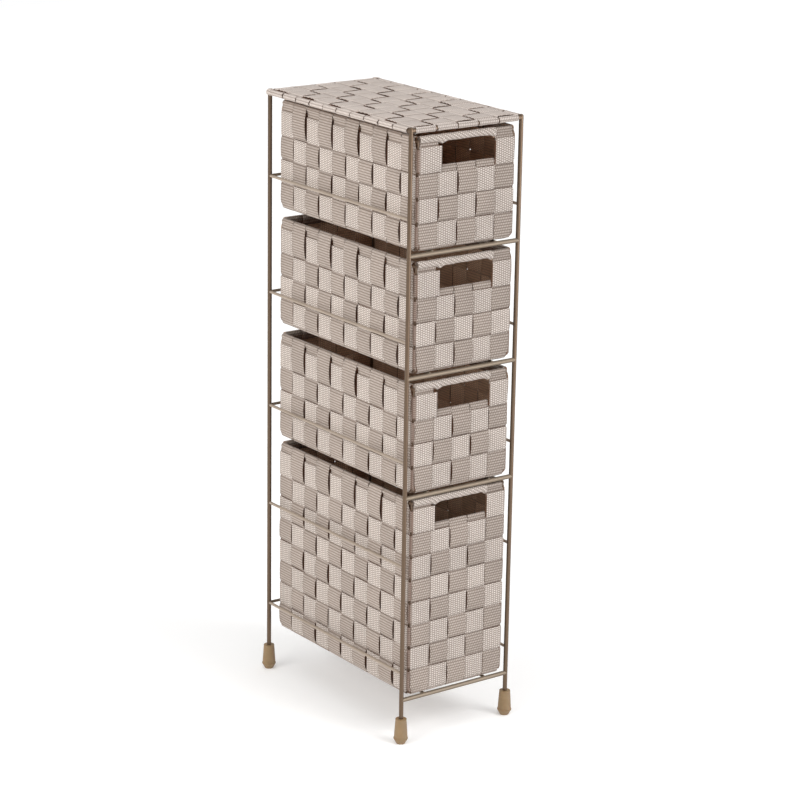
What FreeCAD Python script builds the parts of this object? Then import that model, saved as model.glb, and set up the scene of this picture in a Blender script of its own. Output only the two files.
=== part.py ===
import FreeCAD, Part
import math
import os
import Sketcher

# Narrow wire tower with four pull-out drawers woven from flat straps.
# Millimetres. Origin on the floor under the middle of the tower, +Z up.
# The drawer fronts face -Y, the long sides of the tower face -X and +X.

doc = FreeCAD.newDocument("WovenDrawerTower")

# Driving dimensions
DRIVING = [
    # Wire tower
    ("post_diameter", 6),
    ("post_top_rise", 4.5),
    ("post_dome_radius", 2.6),
    ("panel_wire_diameter", 6),
    ("lowest_crossbar_level", 61),
    ("crossbar_diameter", 6),
    ("rail_diameter", 4),
    ("rear_bar_diameter", 4),
    ("rail_rise", 48),
    ("lowest_rail_rise", 38),
    ("deep_bay_rail_rise", 188),
    ("runner_diameter", 4),
    ("runner_spacing", 102),
    ("runner_rise", 2.2),
    ("runner_bend_radius", 8),
    # Feet
    ("foot_height", 35),
    ("foot_top_diameter", 15),
    ("foot_shoulder_diameter", 18.6),
    ("foot_widest_diameter", 19.6),
    ("foot_sole_diameter", 12),
    ("foot_lip_level", 7),
    ("foot_lip_thickness", 1),
    ("foot_edge_radius", 2.5),
    ("foot_socket_depth", 25),
    ("foot_socket_clearance", 0.05),
    # Straps
    ("strap_thickness", 1.2),
    ("layer_clearance", 0.1),
    ("wire_clearance", 0.1),
    ("slope_length", 1.2),
    # Woven top panel
    ("panel_long_strap_count", 5),
    ("panel_long_strap_gap", 1.5),
    ("panel_side_margin", 6.25),
    ("panel_cross_strap_count", 10),
    ("panel_cross_strap_gap", 1.6),
    ("panel_end_margin", 4.8),
    ("panel_tail_length", 4.5),
    # Woven drawers
    ("front_strap_count", 5),
    ("side_strap_count", 10),
    ("shallow_row_count", 4),
    ("deep_row_count", 8),
    ("upright_strap_width", 28),
    ("front_strap_gap", 1.4),
    ("side_strap_gap", 2.1),
    ("band_width", 30.5),
    ("row_gap", 1.4),
    ("rim_zone_height", 13.8),
    ("rim_wire_diameter", 4),
    ("rim_corner_radius", 4.5),
    ("rim_tail_length", 10),
    ("basket_wire_diameter", 3),
    ("base_corner_radius", 4),
    ("slot_height", 29.5),
    ("slot_strap_count", 3),
    ("grip_end_clearance", 0.3),
    # Room round the drawers
    ("drawer_front_overhang", 2.4),
    ("drawer_seat_clearance", 0.3),
    ("drawer_side_clearance", 5.5),
    ("drawer_stop_clearance", 4.1),
    ("shallow_bay_clearance", 12.2),
    ("deep_bay_clearance", 5.6),
]

# Sizes and places that follow from the driving dimensions
DERIVED = [
    ("layer_offset", "(Sizes.strap_thickness + Sizes.layer_clearance) / 2"),
    ("wall_half", "Sizes.strap_thickness + Sizes.layer_clearance / 2"),
    ("bend_radius", "wall_half + Sizes.basket_wire_diameter / 2 + Sizes.wire_clearance"),
    ("handle_fold_radius", "Sizes.basket_wire_diameter / 2 + Sizes.wire_clearance"
                           " + Sizes.strap_thickness / 2"),
    ("rim_fold_radius", "Sizes.rim_wire_diameter / 2 + Sizes.wire_clearance + Sizes.strap_thickness / 2"),
    ("panel_fold_radius", "Sizes.panel_wire_diameter / 2 + Sizes.wire_clearance + Sizes.strap_thickness / 2"),
    ("rim_wire_inset", "rim_fold_radius - layer_offset"),
    ("corner_margin", "rim_wire_inset + rim_fold_radius + Sizes.strap_thickness / 2"
                      " + Sizes.layer_clearance"),
    ("front_pitch", "Sizes.upright_strap_width + Sizes.front_strap_gap"),
    ("side_pitch", "Sizes.upright_strap_width + Sizes.side_strap_gap"),
    ("row_pitch", "Sizes.band_width + Sizes.row_gap"),
    ("basket_half_width", "(Sizes.front_strap_count * front_pitch - Sizes.front_strap_gap) / 2"
                          " + corner_margin"),
    ("basket_half_depth", "(Sizes.side_strap_count * side_pitch - Sizes.side_strap_gap) / 2"
                          " + corner_margin"),
    ("post_spacing_across", "2 * (basket_half_width + wall_half + Sizes.drawer_side_clearance)"
                            " + Sizes.post_diameter"),
    ("post_spacing_deep", "2 * (basket_half_depth + wall_half) - Sizes.drawer_front_overhang"
                          " + Sizes.drawer_stop_clearance + Sizes.runner_diameter"
                          " + Sizes.rear_bar_diameter / 2"),
    ("basket_middle", "wall_half + basket_half_depth - post_spacing_deep / 2"
                      " - Sizes.drawer_front_overhang"),
    ("panel_long_strap_width", "(post_spacing_across - 2 * Sizes.panel_side_margin"
                               " + Sizes.panel_long_strap_gap) / Sizes.panel_long_strap_count"
                               " - Sizes.panel_long_strap_gap"),
    ("panel_cross_strap_width", "(post_spacing_deep - 2 * Sizes.panel_end_margin"
                                " + Sizes.panel_cross_strap_gap) / Sizes.panel_cross_strap_count"
                                " - Sizes.panel_cross_strap_gap"),
    ("lowest_band_level", "wall_half + bend_radius + Sizes.slope_length"),
    ("shallow_height", "lowest_band_level + Sizes.shallow_row_count * row_pitch - Sizes.row_gap"
                       " + Sizes.rim_zone_height"),
    ("deep_height", "lowest_band_level + Sizes.deep_row_count * row_pitch - Sizes.row_gap"
                    " + Sizes.rim_zone_height"),
    ("rim_wire_drop", "rim_fold_radius + Sizes.strap_thickness / 2"),
    ("grip_radius", "rim_fold_radius + Sizes.strap_thickness / 2"),
    ("handle_wire_drop", "rim_wire_drop + grip_radius + Sizes.slot_height + handle_fold_radius"
                         " + Sizes.strap_thickness / 2"),
    ("slot_half_width", "Sizes.slot_strap_count * front_pitch / 2 + Sizes.front_strap_gap / 2"),
    ("seat_rise", "Sizes.runner_rise + Sizes.runner_diameter / 2 + Sizes.drawer_seat_clearance"),
    ("shallow_bay_height", "seat_rise + shallow_height + Sizes.shallow_bay_clearance"),
    ("crossbar_level_four", "Sizes.lowest_crossbar_level"),
    ("crossbar_level_three", "crossbar_level_four + seat_rise + deep_height + Sizes.deep_bay_clearance"),
    ("crossbar_level_two", "crossbar_level_three + shallow_bay_height"),
    ("crossbar_level_one", "crossbar_level_two + shallow_bay_height"),
    ("panel_wire_level", "crossbar_level_one + shallow_bay_height"),
    ("rail_level_one", "crossbar_level_one + Sizes.rail_rise"),
    ("rail_level_two", "crossbar_level_two + Sizes.rail_rise"),
    ("rail_level_three", "crossbar_level_three + Sizes.rail_rise"),
    ("rail_level_four", "crossbar_level_four + Sizes.lowest_rail_rise"),
    ("rail_level_middle", "crossbar_level_four + Sizes.deep_bay_rail_rise"),
]

sizes_sheet = doc.addObject("Spreadsheet::Sheet", "Sizes")
places_sheet = doc.addObject("Spreadsheet::Sheet", "Places")


def fill_sheet(sheet, rows, prefix):
    """Write one named cell per row, with the name beside its value."""
    for number, (name, value) in enumerate(rows, 1):
        sheet.set("A%d" % number, name)
        sheet.setAlias("B%d" % number, name)
        sheet.set("B%d" % number, prefix + str(value))


fill_sheet(sizes_sheet, DRIVING, "")
doc.recompute()
fill_sheet(places_sheet, DERIVED, "=")
doc.recompute()


def size(name):
    """Value of a driving dimension."""
    return float(sizes_sheet.get(name))


def place(name):
    """Value of a derived size or place."""
    return float(places_sheet.get(name))


# Names of the tiers from the top down, and how many rows of straps each drawer has
TIERS = ["one", "two", "three", "four"]
DEEP_TIER = "four"
LEFT_RIGHT = [("left", "-"), ("right", "")]
FRONT_REAR = [("front", "-"), ("rear", "")]

subparts = []


def keep(item, label):
    """Name an object and put it on the list of sub-parts."""
    item.Label = label
    subparts.append(item)
    return item


def bind(item, formulas):
    """Tie properties of an object to the sheets."""
    for name, formula in formulas.items():
        item.setExpression(name, formula)


def bind_place(item, x, y, z):
    """Tie an object's position to the sheets."""
    bind(item, {".Placement.Base.x": x, ".Placement.Base.y": y, ".Placement.Base.z": z})


def turned(axis, degrees):
    """Placement that only turns about an axis."""
    return FreeCAD.Placement(FreeCAD.Vector(0, 0, 0), FreeCAD.Rotation(axis, degrees))


AXIS_X = FreeCAD.Vector(1, 0, 0)
AXIS_Y = FreeCAD.Vector(0, 1, 0)
AXIS_Z = FreeCAD.Vector(0, 0, 1)
ALONG = {"x": turned(AXIS_Y, 90), "y": turned(AXIS_X, -90), "z": turned(AXIS_Z, 0)}


def rod(direction, diameter, length, x, y, z):
    """Straight round wire that starts at x, y, z and runs along an axis."""
    wire = doc.addObject("Part::Cylinder", "Rod")
    wire.Placement = ALONG[direction]
    bind(wire, {"Radius": diameter + " / 2", "Height": length})
    bind_place(wire, x, y, z)
    return wire


def quarter_bend(turn, diameter, radius, x, y, z):
    """Quarter turn of round wire about the centre x, y, z."""
    bend = doc.addObject("Part::Torus", "Bend")
    bend.Placement = turn
    bend.Angle3 = 90
    bind(bend, {"Radius1": radius, "Radius2": diameter + " / 2"})
    bind_place(bend, x, y, z)
    return bend


def fused(items):
    """Several shapes joined into one."""
    joined = doc.addObject("Part::MultiFuse", "Joined")
    joined.Shapes = items
    return joined


def cut(base, tool):
    """Base with the tool taken away."""
    result = doc.addObject("Part::Cut", "Coped")
    result.Base = base
    result.Tool = tool
    return result


def grouped(items):
    """Several separate solids kept as one sub-part."""
    group = doc.addObject("Part::Compound", "Group")
    group.Links = items
    return group


def origin_plane(body, role):
    """Origin plane of a body, found by its role."""
    return [plane for plane in body.Origin.OriginFeatures if plane.Role == role][0]


# Feet

def bound_profile(body, corners):
    """Closed sketch in the XZ plane whose corners follow pairs of formulas, None for zero."""
    sketch = body.newObject("Sketcher::SketchObject", "Profile")
    sketch.AttachmentSupport = (origin_plane(body, "XZ_Plane"), [""])
    sketch.MapMode = "FlatFace"
    start_points = []
    for across, up in corners:
        start_points.append((size_of(across), size_of(up)))
    for index, (u, v) in enumerate(start_points):
        next_u, next_v = start_points[(index + 1) % len(corners)]
        sketch.addGeometry(Part.LineSegment(FreeCAD.Vector(u, v, 0), FreeCAD.Vector(next_u, next_v, 0)))
    for index in range(len(corners)):
        sketch.addConstraint(Sketcher.Constraint("Coincident", index, 2, (index + 1) % len(corners), 1))
    for index, (across, up) in enumerate(corners):
        tie_corner(sketch, index, across, "DistanceX", -2, start_points[index][0])
        tie_corner(sketch, index, up, "DistanceY", -1, start_points[index][1])
    return sketch


def size_of(formula):
    """Present value of a formula, or zero for None."""
    if formula is None:
        return 0.0
    return float(sizes_sheet.evalExpression(formula))


def tie_corner(sketch, index, formula, kind, axis, value):
    """Hold one coordinate of a sketch corner: on an axis, or at a formula's distance."""
    if formula is None:
        sketch.addConstraint(Sketcher.Constraint("PointOnObject", index, 1, axis))
        return
    number = sketch.addConstraint(Sketcher.Constraint(kind, -1, 1, index, 1, value))
    sketch.setExpression("Constraints[%d]" % number, formula)


FOOT_PROFILE = [
    (None, None),
    ("Sizes.foot_sole_diameter / 2", None),
    ("Sizes.foot_widest_diameter / 2", "Sizes.foot_lip_level"),
    ("Sizes.foot_widest_diameter / 2", "Sizes.foot_lip_level + Sizes.foot_lip_thickness"),
    ("Sizes.foot_shoulder_diameter / 2", "Sizes.foot_lip_level + Sizes.foot_lip_thickness"),
    ("Sizes.foot_top_diameter / 2", "Sizes.foot_height"),
    ("Sizes.post_diameter / 2 + Sizes.foot_socket_clearance", "Sizes.foot_height"),
    ("Sizes.post_diameter / 2 + Sizes.foot_socket_clearance", "Sizes.foot_height - Sizes.foot_socket_depth"),
    (None, "Sizes.foot_height - Sizes.foot_socket_depth"),
]


def foot(label, x, y):
    """Moulded foot: tapered sleeve with a rounded sole, closed below the post's end."""
    body = doc.addObject("PartDesign::Body", "Foot")
    profile = bound_profile(body, FOOT_PROFILE)
    turned_foot = body.newObject("PartDesign::Revolution", "TurnedFoot")
    turned_foot.Profile = profile
    turned_foot.ReferenceAxis = (profile, ["V_Axis"])
    turned_foot.Angle = 360
    doc.recompute()
    edge_name = circle_edge(turned_foot.Shape, size("foot_widest_diameter") / 2, size("foot_lip_level"))
    rounding = body.newObject("PartDesign::Fillet", "RoundedLip")
    rounding.Base = (turned_foot, [edge_name])
    bind(rounding, {"Radius": "Sizes.foot_edge_radius"})
    body.Tip = rounding
    bind_place(body, x, y, "0")
    return keep(body, label)


def circle_edge(shape, radius, level):
    """Name of the edge that lies nearest to a circle of this radius at this level."""
    def miss(edge):
        if not hasattr(edge.Curve, "Radius"):
            return math.inf
        return abs(edge.Curve.Radius - radius) + abs(edge.BoundBox.ZMin - level)
    edges = sorted(enumerate(shape.Edges, 1), key=lambda entry: miss(entry[1]))
    return "Edge%d" % edges[0][0]


# Posts

def post(label, x, y):
    """Upright of round wire with a domed upper end, seated in its foot."""
    body = doc.addObject("PartDesign::Body", "Post")
    sketch = body.newObject("Sketcher::SketchObject", "Section")
    sketch.AttachmentSupport = (origin_plane(body, "XY_Plane"), [""])
    sketch.MapMode = "FlatFace"
    radius = size("post_diameter") / 2
    sketch.addGeometry(Part.Circle(FreeCAD.Vector(0, 0, 0), AXIS_Z, radius))
    sketch.addConstraint(Sketcher.Constraint("Coincident", 0, 3, -1, 1))
    number = sketch.addConstraint(Sketcher.Constraint("Radius", 0, radius))
    sketch.setExpression("Constraints[%d]" % number, "Sizes.post_diameter / 2")
    pad = body.newObject("PartDesign::Pad", "Length")
    pad.Profile = sketch
    bind(pad, {"Length": "Places.panel_wire_level + Sizes.post_top_rise"
                         " - Sizes.foot_height + Sizes.foot_socket_depth"})
    doc.recompute()
    dome = body.newObject("PartDesign::Fillet", "Dome")
    dome.Base = (pad, [circle_edge(pad.Shape, radius, pad.Shape.BoundBox.ZMax)])
    bind(dome, {"Radius": "Sizes.post_dome_radius"})
    body.Tip = dome
    bind_place(body, x, y, "Sizes.foot_height - Sizes.foot_socket_depth")
    return keep(body, label)


posts = []
for front_rear, y_sign in FRONT_REAR:
    for left_right, x_sign in LEFT_RIGHT:
        corner_x = x_sign + "Places.post_spacing_across / 2"
        corner_y = y_sign + "Places.post_spacing_deep / 2"
        posts.append(post("%s_%s_post" % (front_rear, left_right), corner_x, corner_y))
        foot("%s_%s_foot" % (front_rear, left_right), corner_x, corner_y)
all_posts = fused(posts)


# Rails and bars between the posts, coped to fit the round posts

def rod_across(diameter, y, level):
    """Wire from the left to the right row of posts."""
    return rod("x", diameter, "Places.post_spacing_across", "-Places.post_spacing_across / 2", y, level)


def rod_deep(diameter, x, level):
    """Wire from the front to the rear row of posts."""
    return rod("y", diameter, "Places.post_spacing_deep", x, "-Places.post_spacing_deep / 2", level)


def rod_pair_deep(diameter, level):
    """Wires along both long sides of the tower."""
    pair = []
    for _, x_sign in LEFT_RIGHT:
        pair.append(rod_deep(diameter, x_sign + "Places.post_spacing_across / 2", level))
    return fused(pair)


for tier in TIERS + ["middle"]:
    rails = rod_pair_deep("Sizes.rail_diameter", "Places.rail_level_" + tier)
    keep(cut(rails, all_posts), "side_rails_" + tier)

crossbars = {}
for tier in TIERS:
    front_bar = rod_across("Sizes.crossbar_diameter", "-Places.post_spacing_deep / 2",
                           "Places.crossbar_level_" + tier)
    crossbars[tier] = keep(cut(front_bar, all_posts), "front_crossbar_" + tier)
    rear_bar = rod_across("Sizes.rear_bar_diameter", "Places.post_spacing_deep / 2",
                          "Places.rail_level_" + tier)
    keep(cut(rear_bar, all_posts), "rear_crossbar_" + tier)


# Runners: two wires per tier that carry a drawer and turn up behind it as its stop

def runner(x, tier):
    """One runner wire from the front crossbar back and up to the rear crossbar."""
    level = "Places.crossbar_level_%s + Sizes.runner_rise" % tier
    stop = "Places.post_spacing_deep / 2 - Sizes.rear_bar_diameter / 2 - Sizes.runner_diameter / 2"
    bend_level = level + " + Sizes.runner_bend_radius"
    run = rod("y", "Sizes.runner_diameter",
              stop + " - Sizes.runner_bend_radius + Places.post_spacing_deep / 2",
              x, "-Places.post_spacing_deep / 2", level)
    upturn = rod("z", "Sizes.runner_diameter",
                 "Places.rail_level_%s + Sizes.rear_bar_diameter / 2 - (%s)" % (tier, bend_level),
                 x, stop, bend_level)
    turn_up = quarter_bend(turned(AXIS_Y, 90), "Sizes.runner_diameter", "Sizes.runner_bend_radius",
                           x, stop + " - Sizes.runner_bend_radius", bend_level)
    return [run, turn_up, upturn]


for tier in TIERS:
    runner_wires = []
    for _, x_sign in LEFT_RIGHT:
        runner_wires += runner(x_sign + "Sizes.runner_spacing / 2", tier)
    keep(cut(fused(runner_wires), crossbars[tier]), "runners_" + tier)


# Straps. A strap's path runs with its outer face on the right-hand side and every bend turns left.

def straight(start, along, stations):
    """Straight stretch: stations are pairs of distance and offset towards the outer face."""
    outward = (along[1], -along[0])
    points = []
    for distance, offset in stations:
        points.append((start[0] + along[0] * distance + outward[0] * offset,
                       start[1] + along[1] * distance + outward[1] * offset))
    return {"points": points, "outward": outward}


def bend(centre, radius, first_angle, last_angle):
    """Left-hand bend about a centre, angles in degrees."""
    return {"centre": centre, "radius": radius, "angles": (first_angle, last_angle)}


def strap_side(path, side, frame):
    """Edges of one face of a strap, in order along its path; side is 1 outside and -1 inside."""
    lift = side * size("strap_thickness") / 2
    edges = []
    for stretch in path:
        if "points" in stretch:
            shift = [lift * part for part in stretch["outward"]]
            corners = [frame(u + shift[0], v + shift[1]) for u, v in stretch["points"]]
            for first, last in zip(corners, corners[1:]):
                edges.append(Part.LineSegment(first, last).toShape())
        else:
            radius = stretch["radius"] + lift
            first, last = stretch["angles"]
            arc_points = []
            for angle in (first, (first + last) / 2, last):
                turn = math.radians(angle)
                arc_points.append(frame(stretch["centre"][0] + radius * math.cos(turn),
                                        stretch["centre"][1] + radius * math.sin(turn)))
            edges.append(Part.Arc(*arc_points).toShape())
    return edges


def open_strap(path, frame, width_vector):
    """Solid of a strap with two ends."""
    outer = strap_side(path, 1, frame)
    inner = strap_side(path, -1, frame)
    first_cap = Part.LineSegment(inner[0].firstVertex().Point, outer[0].firstVertex().Point).toShape()
    last_cap = Part.LineSegment(outer[-1].lastVertex().Point, inner[-1].lastVertex().Point).toShape()
    outline = Part.Wire(Part.__sortEdges__(outer + [last_cap] + inner + [first_cap]))
    return Part.Face(outline).extrude(width_vector)


def closed_strap(path, frame, width_vector):
    """Solid of a strap that closes on itself."""
    outer = Part.Wire(Part.__sortEdges__(strap_side(path, 1, frame)))
    inner = Part.Wire(Part.__sortEdges__(strap_side(path, -1, frame)))
    ring = Part.Face(outer).cut(Part.Face(inner)).Faces[0]
    return ring.extrude(width_vector)


def plan_frame(level):
    """Maps a path drawn in plan."""
    return lambda u, v: FreeCAD.Vector(u, v, level)


def across_frame(y):
    """Maps a path drawn in the section across the tower."""
    return lambda u, v: FreeCAD.Vector(u, y, v)


def deep_frame(x):
    """Maps a path drawn in the section from front to rear."""
    return lambda u, v: FreeCAD.Vector(x, u, v)


def row_of(count, pitch):
    """Centres of straps laid side by side about zero."""
    return [(index - (count - 1) / 2) * pitch for index in range(count)]


def crossings(centres, width, layers):
    """Stations where a strap holds one layer over the full width of each strap that it crosses."""
    stations = []
    for centre, layer in zip(centres, layers):
        stations += [(centre - width / 2, layer), (centre + width / 2, layer)]
    return stations


def strap_feature(label, solids, y=0.0, level=0.0):
    """Sub-part made of one or more straps."""
    feature = doc.addObject("Part::Feature", "Straps")
    feature.Shape = Part.makeCompound(solids)
    feature.Placement = FreeCAD.Placement(FreeCAD.Vector(0, y, level), FreeCAD.Rotation())
    return keep(feature, label)


# Woven top panel

side_wires = cut(rod_pair_deep("Sizes.panel_wire_diameter", "Places.panel_wire_level"), all_posts)
end_wires = []
for _, y_sign in FRONT_REAR:
    end_wires.append(rod_across("Sizes.panel_wire_diameter", y_sign + "Places.post_spacing_deep / 2",
                                "Places.panel_wire_level"))
coped_end_wires = cut(cut(fused(end_wires), all_posts), side_wires)
keep(grouped([side_wires, coped_end_wires]), "top_panel_wires")


def panel_path(half, centres, width, layers):
    """Path of a panel strap: round the far wire, over the panel and round the near wire."""
    radius = place("panel_fold_radius")
    level = place("panel_wire_level")
    tail = size("panel_tail_length")
    woven = crossings([half + centre for centre in centres], width, layers)
    first_slope = woven[0][0] - size("slope_length")
    top_stations = [(0, 0), (first_slope, 0)] + woven + [(2 * half - first_slope, 0), (2 * half, 0)]
    return [
        straight((half - tail, level - radius), (1, 0), [(0, 0), (tail, 0)]),
        bend((half, level), radius, -90, 90),
        straight((half, level + radius), (-1, 0), top_stations),
        bend((-half, level), radius, 90, 270),
        straight((-half, level - radius), (1, 0), [(0, 0), (tail, 0)]),
    ]


def panel_straps():
    """Both sets of straps of the top panel."""
    long_width = place("panel_long_strap_width")
    cross_width = place("panel_cross_strap_width")
    long_places = row_of(int(size("panel_long_strap_count")), long_width + size("panel_long_strap_gap"))
    cross_places = row_of(int(size("panel_cross_strap_count")), cross_width + size("panel_cross_strap_gap"))
    under = -2 * place("layer_offset")
    long_straps = []
    for column, x in enumerate(long_places):
        layers = []
        for row in range(len(cross_places)):
            layers.append(under if (column + row) % 2 else 0)
        path = panel_path(place("post_spacing_deep") / 2, cross_places, cross_width, layers)
        long_straps.append(open_strap(path, deep_frame(x - long_width / 2),
                                      FreeCAD.Vector(long_width, 0, 0)))
    cross_straps = []
    for row, y in enumerate(reversed(cross_places)):
        layers = []
        for column in reversed(range(len(long_places))):
            layers.append(0 if (column + row) % 2 else under)
        path = panel_path(place("post_spacing_across") / 2, long_places, long_width, layers)
        cross_straps.append(open_strap(path, across_frame(y - cross_width / 2),
                                       FreeCAD.Vector(0, cross_width, 0)))
    strap_feature("top_panel_long_straps", long_straps)
    strap_feature("top_panel_cross_straps", cross_straps)


panel_straps()


# Drawers

def band_outside(place_in_ring, row):
    """Whether a round band passes outside an upright strap, counted round from the front left."""
    return (place_in_ring + row) % 2 == 0


def layer(outside):
    """Offset of a strap from the middle of the wall."""
    return place("layer_offset") if outside else -place("layer_offset")


FRONT_COUNT = int(size("front_strap_count"))
SIDE_COUNT = int(size("side_strap_count"))
RING_COUNT = 2 * (FRONT_COUNT + SIDE_COUNT)
SLOT_FIRST = (FRONT_COUNT - int(size("slot_strap_count"))) // 2
SLOT_COLUMNS = range(SLOT_FIRST, SLOT_FIRST + int(size("slot_strap_count")))


def band_wall(row, start, along, length, first_place, count, pitch):
    """Straight stretch of a round band along one wall."""
    centres = [length / 2 + centre for centre in row_of(count, pitch)]
    layers = [layer(band_outside(first_place + index, row)) for index in range(count)]
    stations = crossings(centres, size("upright_strap_width"), layers)
    return straight(start, along, [(0, 0)] + stations + [(length, 0)])


def ring_path(row):
    """Path of one round band, from the front left corner round the drawer."""
    radius = place("bend_radius")
    inner_x = place("basket_half_width") - radius
    inner_y = place("basket_half_depth") - radius
    half_x = place("basket_half_width")
    half_y = place("basket_half_depth")
    front_pitch = place("front_pitch")
    side_pitch = place("side_pitch")
    return [
        band_wall(row, (-inner_x, -half_y), (1, 0), 2 * inner_x, 0, FRONT_COUNT, front_pitch),
        bend((inner_x, -inner_y), radius, -90, 0),
        band_wall(row, (half_x, -inner_y), (0, 1), 2 * inner_y, FRONT_COUNT, SIDE_COUNT, side_pitch),
        bend((inner_x, inner_y), radius, 0, 90),
        band_wall(row, (inner_x, half_y), (-1, 0), 2 * inner_x, FRONT_COUNT + SIDE_COUNT,
                  FRONT_COUNT, front_pitch),
        bend((-inner_x, inner_y), radius, 90, 180),
        band_wall(row, (-half_x, inner_y), (0, -1), 2 * inner_y, 2 * FRONT_COUNT + SIDE_COUNT,
                  SIDE_COUNT, side_pitch),
        bend((-inner_x, -inner_y), radius, 180, 270),
    ]


def slotted_path():
    """Path of the top band, which stops at both sides of the hand slot."""
    closed = ring_path(0)
    front = closed[0]
    before = {"points": front["points"][:1 + 2 * SLOT_COLUMNS.start], "outward": front["outward"]}
    after = {"points": front["points"][1 + 2 * SLOT_COLUMNS.stop:], "outward": front["outward"]}
    return [after] + closed[1:] + [before]


def wall_stations(place_in_ring, rows, height, top_level, top_offset, first_row):
    """Pairs of level and offset of an upright strap, from its fold down to its lower bend."""
    lower_bend = place("wall_half") + place("bend_radius")
    first_edge = height - size("rim_zone_height") - first_row * place("row_pitch")
    stations = [(top_level, top_offset), (first_edge + size("slope_length"), top_offset)]
    for row in range(first_row, rows):
        edge = height - size("rim_zone_height") - row * place("row_pitch")
        offset = layer(not band_outside(place_in_ring, row))
        stations += [(edge, offset), (edge - size("band_width"), offset)]
    return stations + [(lower_bend, 0)]


def wall_down(half, stations):
    """Near wall of an upright strap, drawn from the top down."""
    top = stations[0][0]
    return straight((-half, top), (0, -1), [(top - level, offset) for level, offset in stations])


def wall_up(half, stations):
    """Far wall of an upright strap, drawn from the bottom up."""
    bottom = stations[-1][0]
    rising = [(level - bottom, offset) for level, offset in reversed(stations)]
    return straight((half, bottom), (0, 1), rising)


def upright_path(half, near, far, floor_centres, floor_layers, near_fold, far_fold):
    """Path of a strap that runs down one wall, under the floor and up the other wall."""
    radius = place("bend_radius")
    floor = place("wall_half")
    inner = half - radius
    stations = crossings([inner + centre for centre in floor_centres],
                         size("upright_strap_width"), floor_layers)
    near_x, near_level, near_radius = near_fold
    far_x, far_level, far_radius = far_fold
    tail = size("rim_tail_length")
    return [
        straight((-near_x + near_radius, near_level - tail), (0, 1), [(0, 0), (tail, 0)]),
        bend((-near_x, near_level), near_radius, 0, 180),
        wall_down(half, near),
        bend((-inner, floor + radius), radius, 180, 270),
        straight((-inner, floor), (1, 0), [(0, 0)] + stations + [(2 * inner, 0)]),
        bend((inner, floor + radius), radius, 270, 360),
        wall_up(half, far),
        bend((far_x, far_level), far_radius, 0, 180),
        straight((far_x - far_radius, far_level), (0, -1), [(0, 0), (tail, 0)]),
    ]


def long_strap_outside(column, row, rows):
    """Whether a lengthwise strap passes below a crosswise one under the floor."""
    return (column + rows - 1 + row) % 2 == 0


def woven_drawer(tier, rows, height):
    """Bands, lengthwise straps and crosswise straps of one drawer."""
    level = place("crossbar_level_" + tier) + place("seat_rise")
    middle = place("basket_middle")
    width = size("upright_strap_width")
    front_places = row_of(FRONT_COUNT, place("front_pitch"))
    side_places = row_of(SIDE_COUNT, place("side_pitch"))
    rim_level = height - place("rim_wire_drop")
    handle_level = height - place("handle_wire_drop")
    rim_radius = place("rim_fold_radius")

    bands = []
    for row in range(rows):
        lower_edge = height - size("rim_zone_height") - row * place("row_pitch") - size("band_width")
        rise = FreeCAD.Vector(0, 0, size("band_width"))
        if row == 0:
            bands.append(open_strap(slotted_path(), plan_frame(lower_edge), rise))
        else:
            bands.append(closed_strap(ring_path(row), plan_frame(lower_edge), rise))

    long_straps = []
    half_depth = place("basket_half_depth")
    rear_fold = (half_depth - place("rim_wire_inset"), rim_level, rim_radius)
    for column, x in enumerate(front_places):
        if column in SLOT_COLUMNS:
            front_fold = (half_depth - place("bend_radius"), handle_level, place("handle_fold_radius"))
            near = wall_stations(column, rows, height, handle_level, layer(False), 1)
        else:
            front_fold = rear_fold
            near = wall_stations(column, rows, height, rim_level, layer(True), 0)
        far = wall_stations(RING_COUNT - SIDE_COUNT - 1 - column, rows, height, rim_level, layer(True), 0)
        floor_layers = [layer(long_strap_outside(column, row, rows)) for row in range(SIDE_COUNT)]
        path = upright_path(half_depth, near, far, side_places, floor_layers, front_fold, rear_fold)
        long_straps.append(open_strap(path, deep_frame(x - width / 2), FreeCAD.Vector(width, 0, 0)))

    cross_straps = []
    half_width = place("basket_half_width")
    side_fold = (half_width - place("rim_wire_inset"), rim_level, rim_radius)
    for row, y in enumerate(side_places):
        near = wall_stations(RING_COUNT - 1 - row, rows, height, rim_level, layer(True), 0)
        far = wall_stations(FRONT_COUNT + row, rows, height, rim_level, layer(True), 0)
        floor_layers = [layer(not long_strap_outside(column, row, rows)) for column in range(FRONT_COUNT)]
        path = upright_path(half_width, near, far, front_places, floor_layers, side_fold, side_fold)
        cross_straps.append(open_strap(path, across_frame(y - width / 2), FreeCAD.Vector(0, width, 0)))

    strap_feature("drawer_%s_round_bands" % tier, bands, middle, level)
    strap_feature("drawer_%s_long_straps" % tier, long_straps, middle, level)
    strap_feature("drawer_%s_cross_straps" % tier, cross_straps, middle, level)


def wire_ring(diameter, half_width, half_depth, radius, level):
    """Closed rectangle of round wire with rounded corners, about the middle of a drawer."""
    pieces = []
    for _, sign in FRONT_REAR:
        y = "Places.basket_middle %s (%s)" % (sign or "+", half_depth)
        pieces.append(rod("x", diameter, "2 * (%s) - 2 * %s" % (half_width, radius),
                          "%s - (%s)" % (radius, half_width), y, level))
    for _, sign in LEFT_RIGHT:
        pieces.append(rod("y", diameter, "2 * (%s) - 2 * %s" % (half_depth, radius),
                          "%s(%s)" % (sign, half_width),
                          "Places.basket_middle + %s - (%s)" % (radius, half_depth), level))
    for quarter, (x_sign, y_sign) in enumerate([("", "+"), ("-", "+"), ("-", "-"), ("", "-")]):
        x = "%s(%s - %s)" % (x_sign, half_width, radius)
        y = "Places.basket_middle %s (%s - %s)" % (y_sign, half_depth, radius)
        pieces.append(quarter_bend(turned(AXIS_Z, 90 * quarter), diameter, radius, x, y, level))
    return fused(pieces)


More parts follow.
